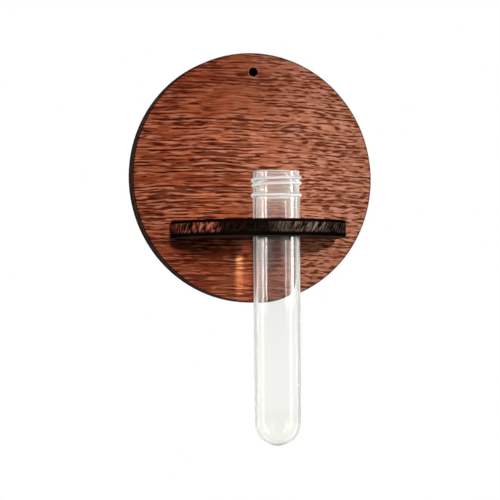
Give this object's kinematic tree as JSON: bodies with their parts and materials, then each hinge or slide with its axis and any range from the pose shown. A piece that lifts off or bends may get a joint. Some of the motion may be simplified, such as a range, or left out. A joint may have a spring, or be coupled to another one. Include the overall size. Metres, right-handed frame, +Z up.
{
  "type": "test tube wall vase",
  "caption": "Wall-hung bud vase: a round wooden board with a hanging hole and a small shelf, whose hole holds a clear, round-ended, screw-neck test tube for a stem.",
  "frame": {"origin": "centre of the hanging hole, on the board's rear face, which lies against the wall", "axes": "+X to the right seen from the front, +Y into the wall, +Z up along the tube"},
  "size_m": [0.14, 0.066, 0.2168],
  "materials": {
    "face_ply": "oiled reddish hardwood ply, edges charred by the cut",
    "core_ply": "dark core with a charred cut edge",
    "clear_tube": "clear moulded plastic"
  },
  "bodies": {
    "holder": {"plate_front_ply": "face_ply", "plate_core": "core_ply", "plate_rear_ply": "face_ply", "shelf_bottom_ply": "face_ply", "shelf_core": "core_ply", "shelf_top_ply": "face_ply"},
    "tube": {"test_tube": "clear_tube"}
  },
  "joints": [
    {"name": "tube_lift", "type": "slide", "parent": "holder", "child": "tube", "axis": [0, 0, 1], "range_m": [0, 0.127]}
  ]
}
